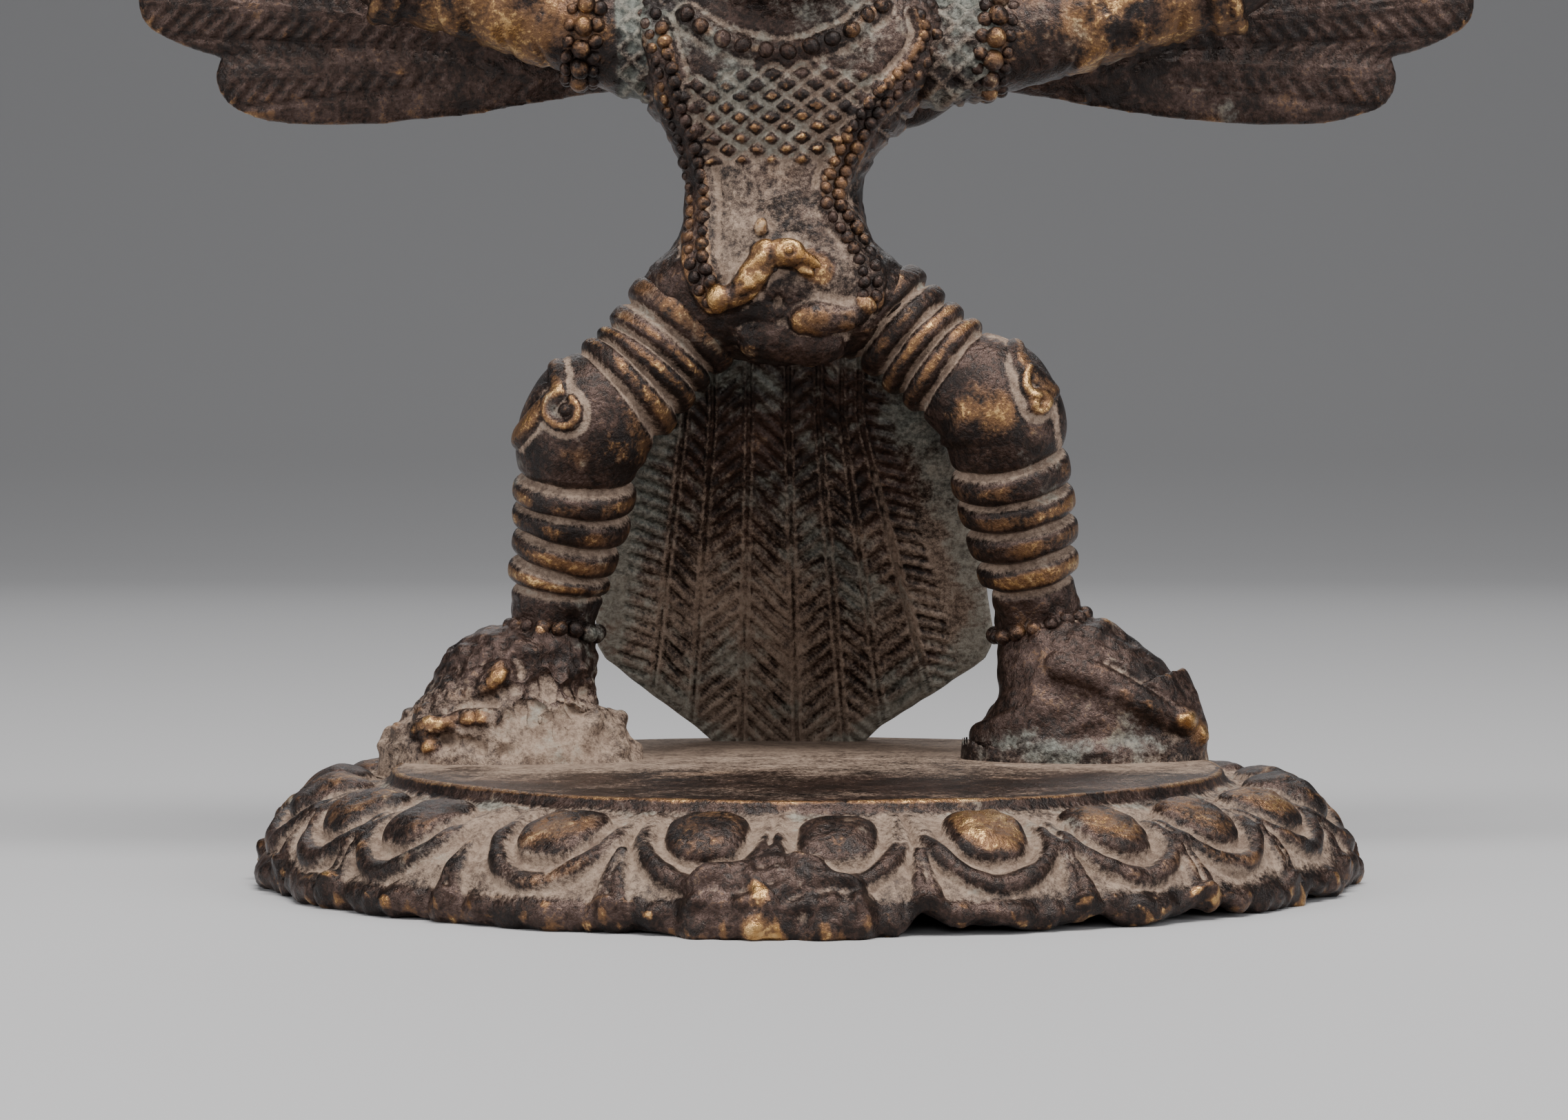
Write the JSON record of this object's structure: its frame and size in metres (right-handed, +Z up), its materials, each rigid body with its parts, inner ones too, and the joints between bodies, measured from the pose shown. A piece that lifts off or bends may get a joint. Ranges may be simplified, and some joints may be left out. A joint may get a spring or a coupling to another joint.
{
  "type": "garuda statue",
  "caption": "Small cast bronze Garuda standing astride on a round hollow lotus base, with spread wings, a leaf-shaped tail, banded legs and serpent garlands.",
  "frame": {"origin": "centre of the ground area under the round lotus base", "axes": "+Z up, the figure faces -Y, +X runs along the wing span towards the viewer's right"},
  "size_m": [0.165, 0.1195, 0.1422],
  "materials": {
    "bronze": "dark aged bronze with worn golden high spots, tan dust and pale green patches in the hollows"
  },
  "bodies": {
    "root": {"garuda_statue": "bronze"}
  },
  "joints": []
}
